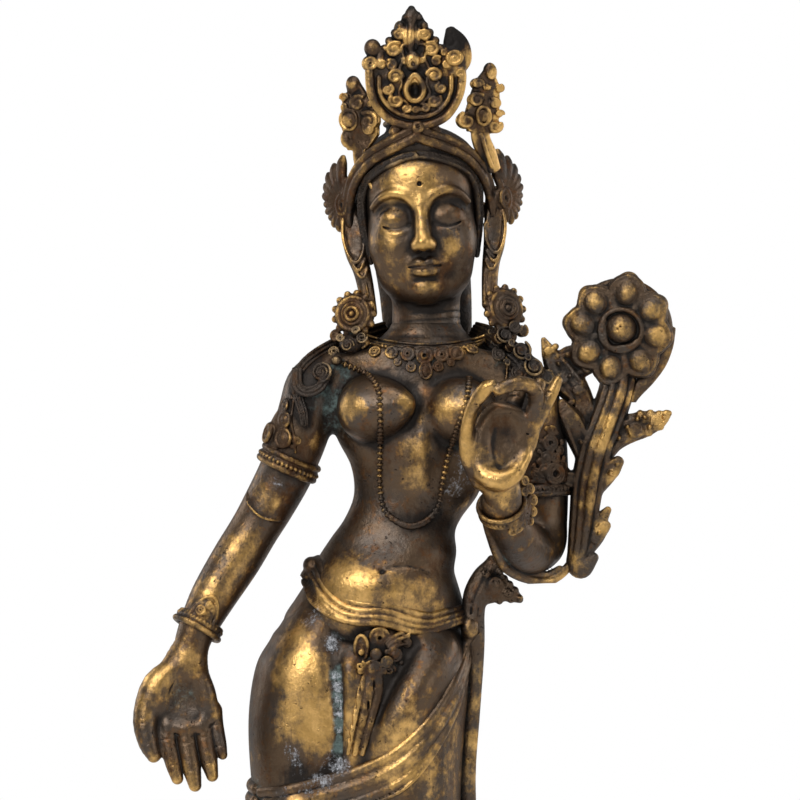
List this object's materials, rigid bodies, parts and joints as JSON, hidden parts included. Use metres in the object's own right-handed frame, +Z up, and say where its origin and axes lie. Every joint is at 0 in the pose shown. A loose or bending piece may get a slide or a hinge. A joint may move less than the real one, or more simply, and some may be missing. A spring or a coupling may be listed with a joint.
{
  "type": "standing tara figure",
  "caption": "Standing Tara in patinated cast brass, crowned and jewelled, with a lowered open hand and a raised hand beside a lotus, on an oval lotus plinth.",
  "frame": {"origin": "middle of the plinth's flat underside", "axes": "+Z up, the figure faces -Y, +X towards the figure's left hand with the lotus, which is the viewer's right"},
  "size_m": [0.2706, 0.1374, 0.6525],
  "materials": {
    "worn_brass": "cast, rubbed bright on the high places, brown and black in the recesses, with green and white corrosion",
    "dark_brass": "cast, mostly dark brown patina with rubbed edges"
  },
  "bodies": {
    "root": {"tara_figure": "worn_brass", "lotus_plinth": "dark_brass"}
  },
  "joints": []
}
